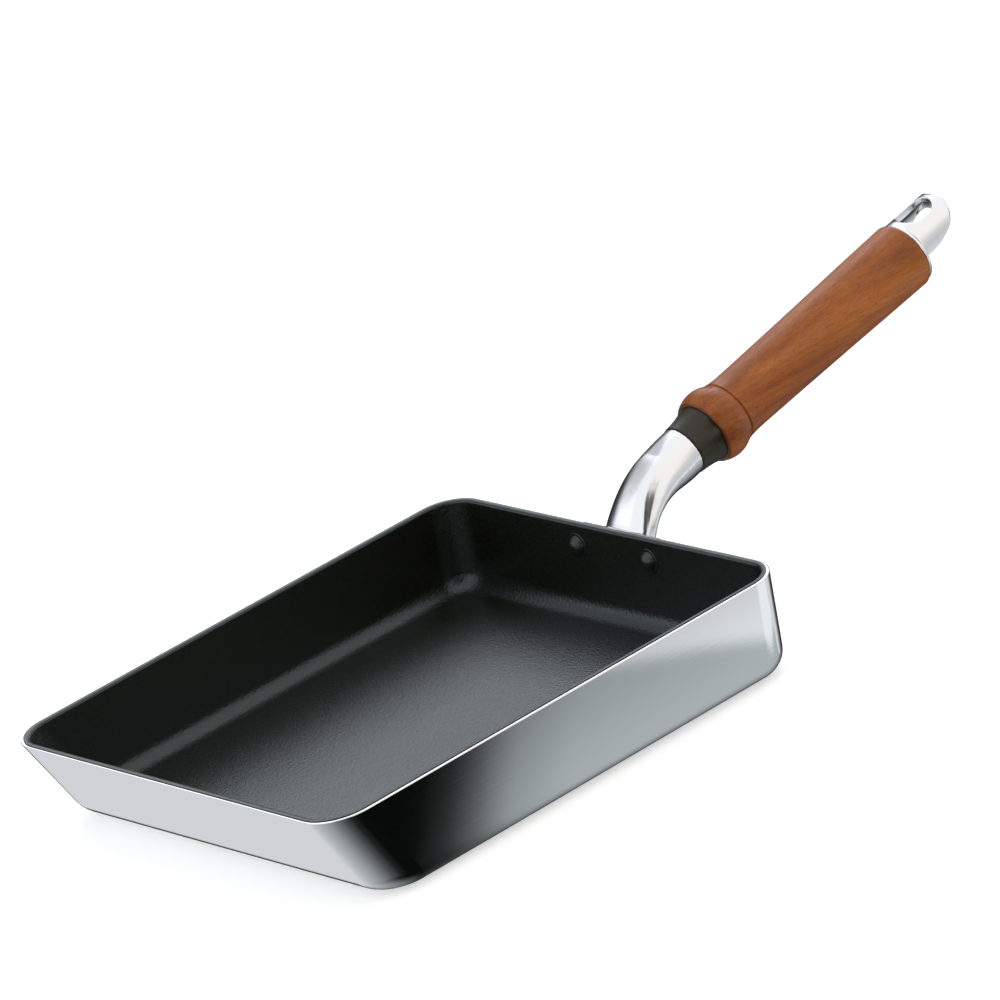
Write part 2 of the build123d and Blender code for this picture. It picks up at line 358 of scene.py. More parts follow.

# %% [markdown]
# Stained beech has three scales of figure. Long soft bands run with the grain, fine pores make thin dark
# dashes a few millimetres long, and the stain takes unevenly in patches. All three are patterns stretched
# along the handle's axis. A clear coat on top gives the lacquer's sheen, and the colour is darkened in a thin
# line at both end faces, where the grip meets the ferrule and the tail cap.

# %% Finish: stained beech
ferrule_length = 0.0098
grip_end = 0.1118
dark_line = 0.0009


def along_grain(tree, lengthwise=1, crosswise=1):
    """Coordinates with X along the handle, and how fast a pattern changes along and across the grain."""
    return object_coordinates(tree, (lengthwise, crosswise, crosswise), handle_turn)


def darkened_ends(tree, colour):
    """The colour with a thin dark line at both end faces of the grip."""
    distance = add_node(tree, "ShaderNodeSeparateXYZ", {"Vector": along_grain(tree)}).outputs["X"]
    for face, inward in ((ferrule_length, 1), (grip_end, -1)):
        start = handle_start.dot(along) + face
        # The colour is multiplied darker within a thin band next to each end face.
        end_darkening = add_range(tree, distance, (start, start + inward * dark_line), (0.25, 1.0))
        colour = add_mix(tree, 1.0, colour, end_darkening, "MULTIPLY")
    return colour


def make_beech():
    """Red-brown stained beech under a satin lacquer."""
    material, tree, shader = new_material("stained beech", Specular_IOR_Level=0.15, Coat_Weight=0.45,
                                          Coat_Roughness=0.2, Coat_IOR=1.45)
    bands = add_noise(tree, along_grain(tree, 7, 130), 1.0, Detail=3.0, Distortion=0.6)
    fibres = add_noise(tree, along_grain(tree, 60, 1500), 1.0, Detail=4.0, Roughness=0.7)
    flecks = add_node(tree, "ShaderNodeTexVoronoi", {"Vector": along_grain(tree, 300, 2300), "Scale": 1.0,
                                                     "Randomness": 1.0}).outputs["Distance"]
    patches = add_noise(tree, along_grain(tree, 18, 45), 1.0, Detail=2.0)
    deep, middle, light = (0.275, 0.063, 0.006), (0.4, 0.108, 0.0145), (0.5, 0.156, 0.029)
    colour = add_ramp(tree, bands, ((0.3, deep), (0.5, middle), (0.7, light)))
    fibre_tone = add_ramp(tree, fibres, ((0.35, 0.62), (0.6, 1.0)))
    fleck_tone = add_ramp(tree, flecks, ((0.12, 0.25), (0.26, 1.0)))
    patch_tone = add_ramp(tree, patches, ((0.3, 0.8), (0.7, 1.1)))
    for layer, share in ((fibre_tone, 0.7), (fleck_tone, 0.75), (patch_tone, 1.0)):
        colour = add_mix(tree, share, colour, layer, "MULTIPLY")
    pores = add_math(tree, "ADD", fleck_tone, fibres)
    feed(tree, shader, Base_Color=darkened_ends(tree, colour),
         Roughness=add_ramp(tree, fibres, ((0.3, 0.5), (0.7, 0.38))),
         Normal=add_bump(tree, pores, strength=0.15, distance=0.00008))
    return material


beech = make_beech()

# %% [markdown]
# The ferrule is a dark collar with a satin, slightly brown skin. The tie rod and its washer are plated
# steel; both are hidden inside the grip, but they still get a finish, as they would on a cut-away drawing.

# %% Finishes: dark ferrule, plated steel and rivets
def make_plain_finish(name, low, high, scale, roughness, metallic):
    """Plain finish whose colour and roughness wander a little over the surface."""
    material, tree, shader = new_material(name, Metallic=metallic)
    grain = add_noise(tree, object_coordinates(tree), scale, Detail=3.0)
    feed(tree, shader, Base_Color=add_ramp(tree, grain, ((0.3, low), (0.7, high))),
         Roughness=add_ramp(tree, grain, ((0.3, roughness * 0.85), (0.7, roughness * 1.15))),
         Normal=add_bump(tree, grain, strength=0.3, distance=0.00003))
    return material


dark_ferrule = make_plain_finish("dark ferrule", (0.013, 0.0095, 0.0012), (0.022, 0.0162, 0.0028), scale=900,
                                 roughness=0.27, metallic=0.0)
plated_steel = make_plain_finish("plated steel", (0.5, 0.5, 0.51), (0.6, 0.6, 0.62), scale=300,
                                 roughness=0.3, metallic=1.0)
rivet_metal = make_plain_finish("rivet aluminium", (0.6, 0.61, 0.62), (0.7, 0.71, 0.72), scale=300,
                                roughness=0.25, metallic=1.0)

# %% [markdown]
# The pan starts as a cube whose eight corners are moved to where the drafted walls meet. Bevelling the
# four upright edges gives the rounded corners, and bevelling the bottom edges gives the rounded base.
# The same block, moved inwards, is the hollow, so both have the same number of points and can be bridged.

# %% Block between the drafted walls
corner_steps = 14
base_steps = 8
hair = 0.00001


def wall_lines(inset, level):
    """Front, back and side of the outline at a height, moved inwards from the outer walls."""
    depth = rim_height - level
    front = -rim_length / 2 + depth * tan(front_draft) + inset / cos(front_draft)
    back = rim_length / 2 - depth * tan(back_draft) - inset / cos(back_draft)
    side = rim_width / 2 - depth * tan(side_draft) - inset / cos(side_draft)
    return front, back, side


def bevel_edges(bm, edges, size, steps):
    """Rounds some edges."""
    bmesh.ops.bevel(bm, geom=edges, offset=size, segments=steps, profile=0.5, affect="EDGES",
                    offset_type="OFFSET", material=-1)


def at_level(items, level):
    """Those of some edges or faces that lie at one height."""
    return [item for item in items if all(abs(vert.co.z - level) < hair for vert in item.verts)]


def pan_block(inset, bottom, top):
    """Closed block between the drafted walls, its corners and its base edge rounded."""
    bm = bmesh.new()
    bmesh.ops.create_cube(bm, size=1)
    for vert in bm.verts:
        level = top if vert.co.z > 0 else bottom
        front, back, side = wall_lines(inset, level)
        vert.co = (front if vert.co.x < 0 else back, copysign(side, vert.co.y), level)
    upright = [edge for edge in bm.edges if abs(edge.verts[0].co.z - edge.verts[1].co.z) > hair]
    bevel_edges(bm, upright, corner_radius - inset, corner_steps)
    bevel_edges(bm, at_level(bm.edges, bottom), base_round - inset / 2, base_steps)
    return bm


def open_top(bm, top):
    """Takes the lid off a block."""
    bmesh.ops.delete(bm, geom=at_level(bm.faces, top), context="FACES_ONLY")


def open_edges(bm):
    """Edges with a face on one side only."""
    return [edge for edge in bm.edges if edge.is_boundary]


print("outline of the base in mm:", [round(value * 1000, 1) for value in wall_lines(0, 0)])

# %% [markdown]
# The aluminium shell is the outer block with its rim edge bevelled, bridged at the rim to the hollow. Its
# inner side is covered by the coat, so only the outside, the base and the bright bevel show. The bevel is
# finer than the CAD's, so a leaning wall would reach a hair further, and its points are held to the CAD box.

# %% Piece: aluminium pan
rim_steps = 3


def make_pan_shell():
    """Polished shell: outside block, bevelled rim and inner wall."""
    top = rim_height - coat
    bm = pan_block(0, 0, top)
    bevel_edges(bm, at_level(bm.edges, top), rim_bevel, rim_steps)
    for vert in bm.verts:
        vert.co.x = max(vert.co.x, cad_box[0][0])
        vert.co.y = min(max(vert.co.y, cad_box[0][1]), cad_box[1][1])
    open_top(bm, top)
    hollow = pan_block(wall, floor_thickness, top)
    open_top(hollow, top)
    bmesh.ops.reverse_faces(hollow, faces=hollow.faces)
    add_mesh_of(hollow, bm)
    bmesh.ops.bridge_loops(bm, edges=open_edges(bm))
    as_piece(bm, "polished_pan", [polished], "pan_body")


make_pan_shell()

# %% [markdown]
# The coat is a skin. Its visible side is the hollow, a rounded lip and the flat of the rim up to a hair's
# breadth from the bevel, where the sprayer's mask was. Solidify then gives the skin its thickness on the
# hidden side, a little less than the coat's own, so that it stays clear of the metal.

# %% Piece: non-stick coat
lip_steps = 4
skin_share = 0.9


def verts_in(geometry):
    """The points among what an operator hands back."""
    return [item for item in geometry if isinstance(item, bmesh.types.BMVert)]


def make_coat():
    """Non-stick skin over the hollow and the rim."""
    bm = pan_block(wall + coat, floor_thickness + coat, rim_height)
    open_top(bm, rim_height)
    bmesh.ops.reverse_faces(bm, faces=bm.faces)
    inner = open_edges(bm)
    outer = bmesh.ops.extrude_edge_only(bm, edges=inner)["geom"]
    front, back, side = wall_lines(wall + coat, rim_height)
    corner = corner_radius - wall - coat
    widened = (corner + wall - rim_bevel - coat_edge) / corner
    for vert in verts_in(outer):
        centre_x = front + corner if vert.co.x < 0 else back - corner
        centre_y = copysign(side - corner, vert.co.y)
        vert.co.x = centre_x + (vert.co.x - centre_x) * widened
        vert.co.y = centre_y + (vert.co.y - centre_y) * widened
    bevel_edges(bm, inner, lip_round, lip_steps)
    bmesh.ops.remove_doubles(bm, verts=bm.verts, dist=merge_distance)
    bmesh.ops.solidify(bm, geom=bm.faces, thickness=coat * skin_share)
    as_piece(bm, "nonstick_skin", [nonstick], "nonstick_coating", sharp_degrees=50)


make_coat()

# %% [markdown]
# Turned parts are a half profile spun round the Z axis, as on a lathe. The profile is a chain of points:
# straight steps where the real part has edges, and a smooth curve through a few stations elsewhere.

# %% Lathe helpers
turned_sides = 96


def smooth_through(stations, steps):
    """Points on a smooth curve through the stations, with that many steps between two of them."""
    ends = [stations[0], *stations, stations[-1]]
    points = []
    for before, start, end, after in zip(ends, ends[1:], ends[2:], ends[3:]):
        for step in range(steps):
            t = step / steps
            points.append(tuple(
                0.5 * (2 * b + (c - a) * t + (2 * a - 5 * b + 4 * c - d) * t * t
                       + (3 * b - a - 3 * c + d) * t ** 3)
                for a, b, c, d in zip(before, start, end, after)
            ))
    return points + [tuple(stations[-1])]


def arc_points(centre, radius, start, end, steps):
    """Points on an arc round a centre, between two angles in radians."""
    angles = [start + (end - start) * step / steps for step in range(steps + 1)]
    return [(centre[0] + radius * cos(angle), centre[1] + radius * sin(angle)) for angle in angles]


def spin_profile(profile, sides, matrix):
    """Lathe: spins (radius, distance) points into a closed turned shape, and places it."""
    bm = bmesh.new()
    verts = [bm.verts.new((radius, 0, distance)) for radius, distance in profile]
    edges = [bm.edges.new(pair) for pair in zip(verts, verts[1:])]
    bmesh.ops.spin(bm, geom=verts + edges, cent=(0, 0, 0), axis=(0, 0, 1), angle=2 * pi, steps=sides,
                   use_merge=True)
    bmesh.ops.remove_doubles(bm, verts=bm.verts, dist=merge_distance)
    bmesh.ops.transform(bm, matrix=matrix, verts=bm.verts)
    return bm


print("sides of a turned part:", turned_sides)

# %% [markdown]
# The grip is turned from one piece of beech. Next to the ferrule it swells into a bead, a fine groove
# closes the bead off, then a waist lets the fingers hold, and the body slowly thickens towards the tail.

# %% Piece: wooden grip
def make_grip():
    """Turned beech grip."""
    bore, face_radius, tail_radius, tail_round = 0.004, 0.0111, 0.0121, 0.0012
    bead = smooth_through([(0.0113, ferrule_length + 0.0001), (0.0119, 0.0108), (0.0126, 0.0127),
                           (0.01295, 0.015), (0.0127, 0.0177), (0.0114, 0.0211)], steps=6)
    groove = [(0.0108, 0.0216), (0.01135, 0.0221)]
    body = smooth_through([(0.0112, 0.0226), (0.01095, 0.028), (0.0111, 0.045), (0.01145, 0.0699),
                           (0.0118, 0.09), (tail_radius, grip_end - tail_round)], steps=10)
    tail = arc_points((tail_radius - tail_round, grip_end - tail_round), tail_round, 0, pi / 2, steps=6)
    profile = [(bore, ferrule_length), (face_radius, ferrule_length), *bead, *groove, *body, *tail[1:],
               (bore, grip_end), (bore, ferrule_length)]
    bm = spin_profile(profile, turned_sides, handle_matrix)
    as_piece(bm, "beech_grip", [beech], "wooden_grip")


make_grip()

# %% [markdown]
# The ferrule is a thin dark collar that flares like a bell from the neck to the wood. A tiny rounding at
# each end catches a line of light.

# %% Piece: ferrule
def make_ferrule():
    """Flared dark collar between neck and grip."""
    bore = 0.0045
    flare = smooth_through([(0.0091, 0.0005), (0.00928, 0.0028), (0.0097, 0.0058), (0.0104, 0.0088),
                            (0.0107, 0.0096)], steps=5)
    profile = [(bore, 0), (0.0088, 0), (0.00902, 0.00015), *flare, (0.0105, ferrule_length),
               (bore, ferrule_length), (bore, 0)]
    bm = spin_profile(profile, turned_sides, handle_matrix)
    as_piece(bm, "dark_collar", [dark_ferrule], "ferrule")


make_ferrule()

# %% [markdown]
# Each rivet has a low dome with a thin flange inside the pan, where the coat covers it, a shank through
# wall and foot, and a plain head behind the foot. The faces inside the pan get the coat's material.

# %% Pieces: rivets
rivet_spacing = 0.036
rivet_depth = 0.008
rivet_sides = 48
foot_thickness = 0.003
outwards = Vector((cos(back_draft), 0, -sin(back_draft)))


def back_wall_matrix(depth, side_place):
    """Place on the back wall's outside, at a depth under the rim, with Z pointing away from the pan."""
    origin = Vector((rim_length / 2 - depth * tan(back_draft), side_place, rim_height - depth))
    return frame_matrix(across, outwards.cross(across), outwards, origin)


def dome_points(radius, height, level, steps=8):
    """Half profile of a low dome, from its rim at a level to its top on the axis."""
    sphere = (radius ** 2 + height ** 2) / (2 * abs(height))
    turn = asin(radius / sphere)
    points = []
    for step in range(steps + 1):
        angle = turn * (1 - step / steps)
        rise = abs(height) - sphere * (1 - cos(angle))
        points.append((sphere * sin(angle), level + copysign(rise, height)))
    return points


def make_rivet(side):
    """One rivet; side is 1 for the left one and -1 for the right one."""
    head, shank, flange = 0.0044, 0.00275, 0.0006
    dome_radius, dome_height, head_height, flange_round = 0.0035, 0.0022, 0.0018, 0.00015
    inside = dome_points(dome_radius, -dome_height, -wall - flange)
    outside = dome_points(head, head_height, foot_thickness)
    profile = [*reversed(inside), (head - flange_round, -wall - flange), (head, -wall - flange * 0.7),
               (head, -wall), (shank, -wall), (shank, foot_thickness), *outside]
    place = back_wall_matrix(rivet_depth, side * rivet_spacing / 2)
    bm = spin_profile(profile, rivet_sides, place)
    for face in bm.faces:
        if (face.calc_center_median() - place.translation).dot(outwards) < -wall - hair:
            face.material_index = 1
    name = "left" if side > 0 else "right"
    as_piece(bm, "pan_rivet_" + name, [rivet_metal, nonstick], "rivet_" + name)


for side in (1, -1):
    make_rivet(side)

# %% [markdown]
# The neck and the tail cap are castings. Their edges are never quite sharp, because the parts are tumbled
# and buffed. So each is first put together from plain, overlapping bodies, then a voxel remesh fuses these
# into one closed skin, and a little smoothing wears the edges down, much as the buffing wheel does.

# %% Helpers for castings
def worked_on(holder):
    """The object's mesh after its modifiers, as a bmesh."""
    graph = bpy.context.evaluated_depsgraph_get()
    mesh = bpy.data.meshes.new_from_object(holder.evaluated_get(graph))
    bm = bmesh.new()
    bm.from_mesh(mesh)
    bpy.data.meshes.remove(mesh)
    return bm


def carve(bm, cutter):
    """Cuts one closed shape out of another."""
    blank = object_of(bm, "passing")
    tool = object_of(cutter, "passing")
    cut = blank.modifiers.new("cut", "BOOLEAN")
    cut.operation = "DIFFERENCE"
    cut.solver = "EXACT"
    cut.object = tool
    carved = worked_on(blank)
    for holder in (blank, tool):
        bpy.data.objects.remove(holder)
    return carved


def cast_in_one(bm, voxel, rounds):
    """Fuses overlapping closed shapes into one skin and wears its edges down."""
    holder = object_of(bm, "passing")
    fuse = holder.modifiers.new("fuse", "REMESH")
    fuse.mode = "VOXEL"
    fuse.voxel_size = voxel
    fused = worked_on(holder)
    bpy.data.objects.remove(holder)
    for _ in range(rounds):
        bmesh.ops.smooth_vert(fused, verts=fused.verts, factor=0.5, use_axis_x=True, use_axis_y=True,
                              use_axis_z=True)
    return fused


# %% [markdown]
# A casting's bodies are drawn from station to station, as a loft is in CAD: one loop of points is extruded,
# and its new points are moved to the next station. A ring of edges gives its points back in any order, so
# each new point is matched with the one that it came from.

# %% Shapes drawn from station to station
def close_holes(bm):
    """Puts a face on every hole."""
    bmesh.ops.holes_fill(bm, edges=open_edges(bm), sides=0)


def in_same_order(loop, extruded_verts):
    """The extruded points, in the order of the points that they came from."""
    partner = {}
    for vert in extruded_verts:
        for edge in vert.link_edges:
            other = edge.other_vert(vert)
            if other in loop:
                partner[other] = vert
    return [partner[vert] for vert in loop]


def extruded(loops_at):
    """Closed tube: a circle of points extruded from one station to the next and capped at both ends."""
    bm = bmesh.new()
    loop = None
    for points in loops_at:
        if loop is None:
            loop = bmesh.ops.create_circle(bm, cap_ends=False, radius=1, segments=len(points))["verts"]
        else:
            edges = [edge for edge in bm.edges if all(vert in loop for vert in edge.verts)]
            loop = in_same_order(loop, verts_in(bmesh.ops.extrude_edge_only(bm, edges=edges)["geom"]))
        for vert, point in zip(loop, points):
            vert.co = point
    close_holes(bm)
    bmesh.ops.recalc_face_normals(bm, faces=bm.faces)
    return bm


print("casting and station helpers ready")

# %% [markdown]
# The neck is the form that takes the most care. It leaves the back wall as a flat bar, bends up and out,
# and swells into a round end the size of the ferrule. Across the bar it is a rounded trapezium, wider on
# the side that faces the pan at first and narrower there further up. The corner is sharp near the foot and
# fades out on the way up, which makes the long leaf-shaped crease that catches a dark reflection. The side
# that faces the pan also has a slight crown.

# %% Sizes and centre line of the neck
neck_radius = 0.0088
neck_straight = 0.0105
neck_bend_radius = 0.0274
neck_root_front = 0.0246
neck_root_back = 0.0189
neck_root_depth = 0.005
neck_root_roundness = 0.6
neck_end_roundness = 0.99
neck_front_share = 0.6
neck_turn_power = 0.8
neck_swell_start = 0.29
neck_wedge_length = 0.007
neck_wedge_width = 0.013
neck_wedge_depth = 0.0008
neck_wedge_corner = neck_wedge_depth * 0.4
neck_crown = 0.0026
neck_crown_end = 0.75
neck_corner_steps = 12
neck_bend = pi / 2 - back_draft - handle_rise
neck_length = neck_straight + neck_bend * neck_bend_radius


def neck_matrix(distance):
    """Place across the neck, at a distance back from its round end along the bent centre line."""
    straight = min(distance, neck_straight)
    bend = min(max(distance - neck_straight, 0) / neck_bend_radius, neck_bend)
    beyond = max(distance - neck_length, 0)
    rise = handle_rise + bend
    step = Vector((cos(rise), 0, sin(rise)))
    x = handle_start.x - straight * cos(handle_rise) - neck_bend_radius * (sin(rise) - sin(handle_rise))
    z = handle_start.z - straight * sin(handle_rise) - neck_bend_radius * (cos(handle_rise) - cos(rise))
    return frame_matrix(across, step.cross(across), step, Vector((x, 0, z)) - step * beyond)


print("neck length in mm:", round(neck_length * 1000, 1))

# %% Sections of the neck
def smooth_step(share):
    """Slow start and slow end between 0 and 1."""
    share = min(max(share, 0), 1)
    return share * share * (3 - 2 * share)


def trapezium(front, back, depth, corner, per_corner=neck_corner_steps):
    """Points round a trapezium with rounded corners, counter-clockwise from the right-hand side."""
    lean = atan2((back - front) / 2, depth)
    front_centre = front / 2 - corner * (1 - sin(lean)) / cos(lean)
    back_centre = back / 2 - corner * (1 + sin(lean)) / cos(lean)
    points = []
    for side, centre, level, start, end in (
        (1, front_centre, depth / 2 - corner, lean, pi / 2),
        (0, 0, depth / 2, 0, 0),
        (-1, front_centre, depth / 2 - corner, pi / 2, lean),
        (-1, back_centre, corner - depth / 2, lean, -pi / 2),
        (1, back_centre, corner - depth / 2, -pi / 2, lean),
    ):
        for step in range(per_corner + 1):
            angle = start + (end - start) * step / per_corner
            if side:
                points.append((side * (centre + corner * cos(angle)), level + corner * sin(angle), 0))
            elif 0 < step < per_corner:
                points.append((front_centre * (1 - 2 * step / per_corner), level, 0))
    return points


def crowned(points, front, crown):
    """The points with their front side swollen in the middle and falling away to its shoulders."""
    raised = []
    for x, y, z in points:
        reach = min(abs(x) / (front / 2), 1)
        raised.append((x, y + crown * (1 - reach ** 3) * (y > 0), z))
    return raised


def neck_section(share):
    """Section of the neck, from the foot at 0 to a full circle at 1."""
    turn = smooth_step(share ** neck_turn_power)
    front = neck_root_front + (2 * neck_radius * neck_front_share - neck_root_front) * turn
    back = neck_root_back + (2 * neck_radius / neck_front_share - neck_root_back) * turn
    swell = smooth_step((share - neck_swell_start) / (1 - neck_swell_start))
    depth = neck_root_depth + (2 * neck_radius - neck_root_depth) * swell
    roundness = neck_root_roundness + (neck_end_roundness - neck_root_roundness) * share
    crown = neck_crown * sin(pi * min(share / neck_crown_end, 1))
    return crowned(trapezium(front, back, depth, roundness * depth / 2), front, crown)


print("points round the neck:", len(neck_section(1)))

# %% [markdown]
# Three bodies make the neck: the bar, drawn from station to station and ending in a thin tongue on the
# foot, the foot, which is the convex hull of two round ears and an apron, and the square spigot that
# enters the grip.

# %% Piece: neck
foot_top_depth = 0.003
foot_bottom_depth = 0.022
neck_stations = 48


def make_foot():
    """Riveted plate behind the back wall, its outer edge softly rounded."""
    middle = (foot_top_depth + foot_bottom_depth) / 2
    place = back_wall_matrix(middle, 0)
    half_height = (foot_bottom_depth - foot_top_depth) / 2
    ear, apron, apron_corner, edge = 0.0065, 0.012, 0.005, 0.0009
    bm = bmesh.new()
    for level, inset in ((0, 0), (foot_thickness - edge, 0), (foot_thickness - edge * 0.3, edge * 0.3),
                         (foot_thickness, edge)):
        for side in (1, -1):
            spots = [(side * rivet_spacing / 2, (middle - rivet_depth) / cos(back_draft), ear)]
            spots += [(side * (apron - apron_corner), end * (half_height - apron_corner), apron_corner)
                      for end in (1, -1)]
            for x, y, radius in spots:
                bmesh.ops.create_circle(bm, cap_ends=False, radius=radius - inset, segments=rivet_sides,
                                        matrix=place @ Matrix.Translation((x, y, level)))
    bmesh.ops.delete(bm, geom=bm.edges[:], context="EDGES_FACES")
    bmesh.ops.convex_hull(bm, input=bm.verts)
    bmesh.ops.delete(bm, geom=[vert for vert in bm.verts if not vert.link_faces], context="VERTS")
    return bm


def make_neck():
    """Bent neck with its tongue, riveted foot and square spigot, cast in one."""
    tongue = neck_matrix(neck_length + neck_wedge_length)
    offset = (neck_root_depth - neck_wedge_depth) / 2
    tip = trapezium(neck_wedge_width, neck_wedge_width, neck_wedge_depth, neck_wedge_corner)
    loops = [[tongue @ Vector((x, y + offset, z)) for x, y, z in tip]]
    for step in range(neck_stations + 1):
        share = step / neck_stations
        place = neck_matrix(neck_length * (1 - share))
        loops.append([place @ Vector(point) for point in neck_section(share)])
    bm = extruded(loops)
    spigot_side, spigot_corner, spigot_start, spigot_end = 0.009, 0.0012, -0.002, 0.014
    spigot = trapezium(spigot_side, spigot_side, spigot_side, spigot_corner, per_corner=6)
    add_mesh_of(extruded([[handle_matrix @ Vector((x, y, z + level)) for x, y, z in spigot]
                          for level in (spigot_start, spigot_end)]), bm)
    add_mesh_of(make_foot(), bm)
    cast = cast_in_one(bm, voxel=0.0003, rounds=4)
    as_piece(cast, "bent_neck", [cast_metal], "handle_neck", sharp_degrees=80)


make_neck()

# %% [markdown]
# The tail cap is a disc with a half-round vault on it, hollow underneath and open at the top, where the
# hanging eye is. The vault is an arch drawn along the handle. Its end is rounded in plan and its underside
# sweeps up: both outlines are convex, so a fan of flat cuts shapes them. Then the hollow and the eye are
# carved out. The cap is made standing on its disc, with X across, Y up and Z along the handle.

# %% Sizes of the tail cap
hood_half_width = 0.00995
hood_top = 0.01145
hood_bottom = -0.0005
hood_length = 0.0206
hood_corner = 0.0068
hood_shell = 0.002
hood_root = 0.003
nose_round = 0.0024
tip_sweep_radius = 0.02
tip_sweep_place = 0.0045
eye_half_width = 0.00565
eye_start = 0.0031
eye_end = 0.0173
eye_floor = 0.001
disc_radius = 0.0115
disc_thickness = 0.0014
disc_round = 0.0005
boss_radius = 0.0042
boss_end = -0.009
boss_bore = 0.0025
boss_bore_end = -0.002
arch_steps = 48
corner_cuts = 16
nose_cuts = 12
sweep_cuts = 24
eye_steps = 24
print("hood in mm:", hood_half_width * 2000, "wide,", hood_length * 1000, "long")

# %% Piece: tail cap
cap_side = Vector((1, 0, 0))
cap_up = Vector((0, 1, 0))
cap_along = Vector((0, 0, 1))


def cut_off(bm, point, normal):
    """Cuts away everything on the normal's side of a plane and closes the cut."""
    geometry = bm.verts[:] + bm.edges[:] + bm.faces[:]
    bmesh.ops.bisect_plane(bm, geom=geometry, plane_co=point, plane_no=normal, clear_outer=True)
    close_holes(bm)


def cut_fan(bm, centre, radius, first, last, shares):
    """Flat cuts at a radius round a centre, at those shares of the quarter turn between two axes."""
    for share in shares:
        angle = pi / 2 * share
        normal = first * cos(angle) + last * sin(angle)
        cut_off(bm, centre + normal * radius, normal)


def vault(shell, start, bottom):
    """Arch along the handle, shrunk by shell, its end rounded in plan."""
    half_width = hood_half_width - shell
    arch = arc_points((0, hood_top - hood_half_width), half_width, 0, pi, arch_steps)
    arch += [(-half_width, bottom), (half_width, bottom)]
    length = hood_length - shell
    bm = extruded([[Vector((x, y, level)) for x, y in arch] for level in (start, length)])
    corner = hood_corner - shell
    shares = [step / corner_cuts for step in range(1, corner_cuts)]
    for side in (1, -1):
        centre = Vector((side * (half_width - corner), 0, length - corner))
        cut_fan(bm, centre, corner, side * cap_side, cap_along, shares)
    return bm


def make_tail_cap():
    """Disc, boss and hollow vault with the hanging eye, cast in one."""
    bm = vault(0, 0, hood_bottom)
    nose = Vector((0, hood_top - nose_round, hood_length - nose_round))
    shares = [step / nose_cuts for step in range(1, nose_cuts)]
    cut_fan(bm, nose, nose_round, cap_along, cap_up, shares)
    sweep = Vector((0, hood_bottom + tip_sweep_radius, tip_sweep_place))
    shares = [(step + 0.5) / sweep_cuts for step in range(sweep_cuts)]
    cut_fan(bm, sweep, tip_sweep_radius, -cap_up, cap_along, shares)
    bm = carve(bm, vault(hood_shell, hood_root, hood_bottom - hood_shell))
    eye = [*arc_points((0, eye_end - eye_half_width), eye_half_width, 0, pi, eye_steps),
           *arc_points((0, eye_start + eye_half_width), eye_half_width, pi, 2 * pi, eye_steps)]
    bm = carve(bm, extruded([[Vector((x, level, z)) for x, z in eye] for level in (eye_floor, 2 * hood_top)]))
    edge = arc_points((disc_radius - disc_round, disc_thickness - disc_round), disc_round, pi / 2, 0, steps=6)
    disc = [(0, disc_thickness), *edge, (disc_radius, 0), (boss_radius, 0), (boss_radius, boss_end),
            (boss_bore, boss_end), (boss_bore, boss_bore_end), (0, boss_bore_end)]
    add_mesh_of(spin_profile(disc, turned_sides, Matrix.Identity(4)), bm)
    bmesh.ops.recalc_face_normals(bm, faces=bm.faces)
    cast = cast_in_one(bm, voxel=0.00025, rounds=5)
    bmesh.ops.transform(cast, matrix=handle_matrix @ Matrix.Translation((0, 0, grip_end)), verts=cast.verts)
    as_piece(cast, "hanging_tail", [cast_metal], "tail_cap", sharp_degrees=80)


make_tail_cap()

# %% [markdown]
# The tie rod and the lock washer are hidden inside the grip. Their CAD solids are right as they are, so
# they stay and only get their plating.

# %% Finish the hidden steel
for name in ("tie_rod", "lock_washer"):
    carried = bpy.data.objects[name]
    carried.data.materials.clear()
    carried.data.materials.append(plated_steel)
print("plated:", plated_steel.name)

# %% [markdown]
# The camera stands where the photographer stood. Its direction, roll and distance were fitted to the
# straight edges of the pan in the photograph: a long lens, far away, tilted so that the pan seems to slide
# towards the lower left.

# %% Camera
camera_azimuth = radians(-35.47)
camera_elevation = radians(21.26)
camera_roll = radians(-14.6)
camera_place = Vector((-1.40021, -2.04393, 1.03979))
camera_lens = 300.46


def make_camera():
    """Camera at the photograph's viewpoint."""
    data = bpy.data.cameras.new("camera")
    data.sensor_width = 36.0
    data.lens = camera_lens
    data.clip_start = 0.1
    data.clip_end = 30.0
    camera = bpy.data.objects.new("camera", data)
    scene.collection.objects.link(camera)
    back = Vector((sin(camera_azimuth) * cos(camera_elevation), -cos(camera_azimuth) * cos(camera_elevation),
                   sin(camera_elevation)))
    level_right = (-back).cross(Vector((0, 0, 1))).normalized()
    level_up = back.cross(level_right)
    right = cos(camera_roll) * level_right + sin(camera_roll) * level_up
    camera.matrix_world = frame_matrix(right, back.cross(right), back, camera_place)
    scene.camera = camera


make_camera()
print("camera distance in m:", round(camera_place.length, 2))

# %% [markdown]
# The floor is plain and pale. It takes the pan's soft shadow, but the polished walls don't mirror it: they
# mirror the sheets that a studio hangs round such a piece, which come next. It lies a hair under the pan
# and glows a little, so that it comes out as white as the background.

# %% Floor
floor_gap = 0.0001
floor_reach = 12
floor_glow = 0.42


def make_floor():
    """Plain pale floor under the pan."""
    material = new_material("pale floor", Base_Color=(0.93, 0.93, 0.93, 1), Roughness=0.9,
                            Emission_Color=(1, 1, 1, 1), Emission_Strength=floor_glow)[0]
    bm = bmesh.new()
    bmesh.ops.create_grid(bm, x_segments=1, y_segments=1, size=floor_reach,
                          matrix=Matrix.Translation((0, 0, -floor_gap)))
    floor = object_of(bm, "floor", [material])
    floor.visible_glossy = False
    floor.visible_diffuse = False


make_floor()

# %% [markdown]
# A mirror shows the studio, so the studio is half of the look. Here it is a white tent, a little darker
# below the horizon, with cloths hung in it. Dark ones low behind the pan and behind the tail darken the
# outlines of rounded metal, because a surface seen edge-on mirrors what is straight behind it. A dark one
# round the camera makes the leaf in the neck's crease. Pale ones only shade the tent a little, and two
# windows are brighter than it. The tent is the world's light, so it has no distance: each cloth is a cone
# of directions, full in its middle and faded at its rim.

